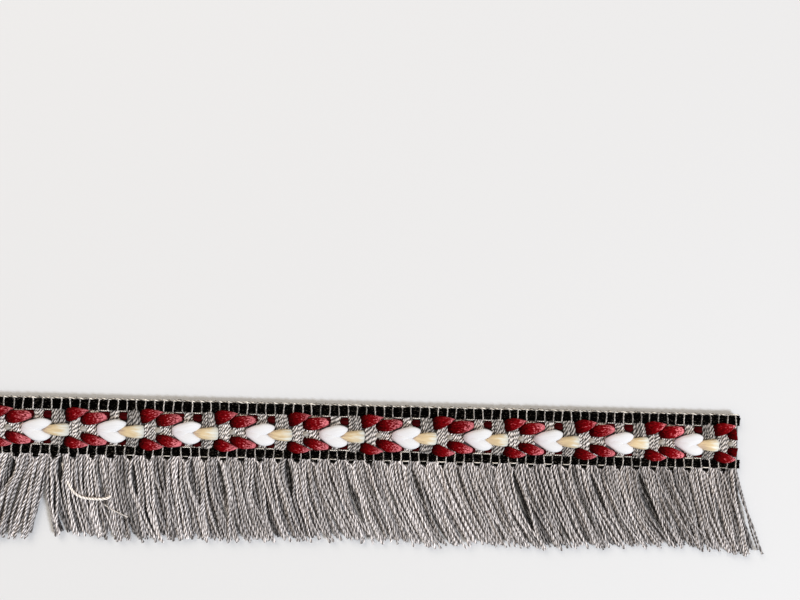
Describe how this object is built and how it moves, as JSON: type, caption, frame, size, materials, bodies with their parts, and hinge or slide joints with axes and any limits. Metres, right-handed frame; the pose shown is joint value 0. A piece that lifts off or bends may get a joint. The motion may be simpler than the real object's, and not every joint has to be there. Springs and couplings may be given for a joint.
{
  "type": "woven fringe trim",
  "caption": "Cut length of narrow woven trim with black edge bands, a heart and leaf figure on a grey web, and a cut yarn fringe along one edge.",
  "frame": {"origin": "middle of the heading's flat back, halfway along the trim", "axes": "+X along the trim, -Y towards the tips of the fringe, +Z out of the face"},
  "size_m": [0.1511, 0.0254, 0.0027],
  "materials": {
    "grey_yarn": "matt twisted yarn",
    "black_yarn": "matt fine yarn",
    "crimson_yarn": "slightly lustrous yarn",
    "white_yarn": "slightly lustrous yarn",
    "cream_yarn": "slightly lustrous yarn"
  },
  "bodies": {
    "root": {"ground_web": "grey_yarn", "upper_band": "black_yarn", "lower_band": "black_yarn", "fringe": "grey_yarn", "heart_01": "white_yarn", "heart_02": "white_yarn", "heart_03": "white_yarn", "heart_04": "white_yarn", "heart_05": "white_yarn", "heart_06": "white_yarn", "heart_07": "white_yarn", "heart_08": "white_yarn", "heart_09": "white_yarn", "heart_10": "white_yarn", "heart_11": "white_yarn", "cream_stitch_01": "cream_yarn", "cream_stitch_02": "cream_yarn", "cream_stitch_03": "cream_yarn", "cream_stitch_04": "cream_yarn", "cream_stitch_05": "cream_yarn", "cream_stitch_06": "cream_yarn", "cream_stitch_07": "cream_yarn", "cream_stitch_08": "cream_yarn", "cream_stitch_09": "cream_yarn", "cream_stitch_10": "cream_yarn", "cream_stitch_11": "cream_yarn", "crimson_upper_01": "crimson_yarn", "crimson_upper_02": "crimson_yarn", "crimson_upper_03": "crimson_yarn", "crimson_upper_04": "crimson_yarn", "crimson_upper_05": "crimson_yarn", "crimson_upper_06": "crimson_yarn", "crimson_upper_07": "crimson_yarn", "crimson_upper_08": "crimson_yarn", "crimson_upper_09": "crimson_yarn", "crimson_upper_10": "crimson_yarn", "crimson_upper_11": "crimson_yarn", "crimson_upper_12": "crimson_yarn", "crimson_lower_01": "crimson_yarn", "crimson_lower_02": "crimson_yarn", "crimson_lower_03": "crimson_yarn", "crimson_lower_04": "crimson_yarn", "crimson_lower_05": "crimson_yarn", "crimson_lower_06": "crimson_yarn", "crimson_lower_07": "crimson_yarn", "crimson_lower_08": "crimson_yarn", "crimson_lower_09": "crimson_yarn", "crimson_lower_10": "crimson_yarn", "crimson_lower_11": "crimson_yarn", "crimson_lower_12": "crimson_yarn"}
  },
  "joints": []
}
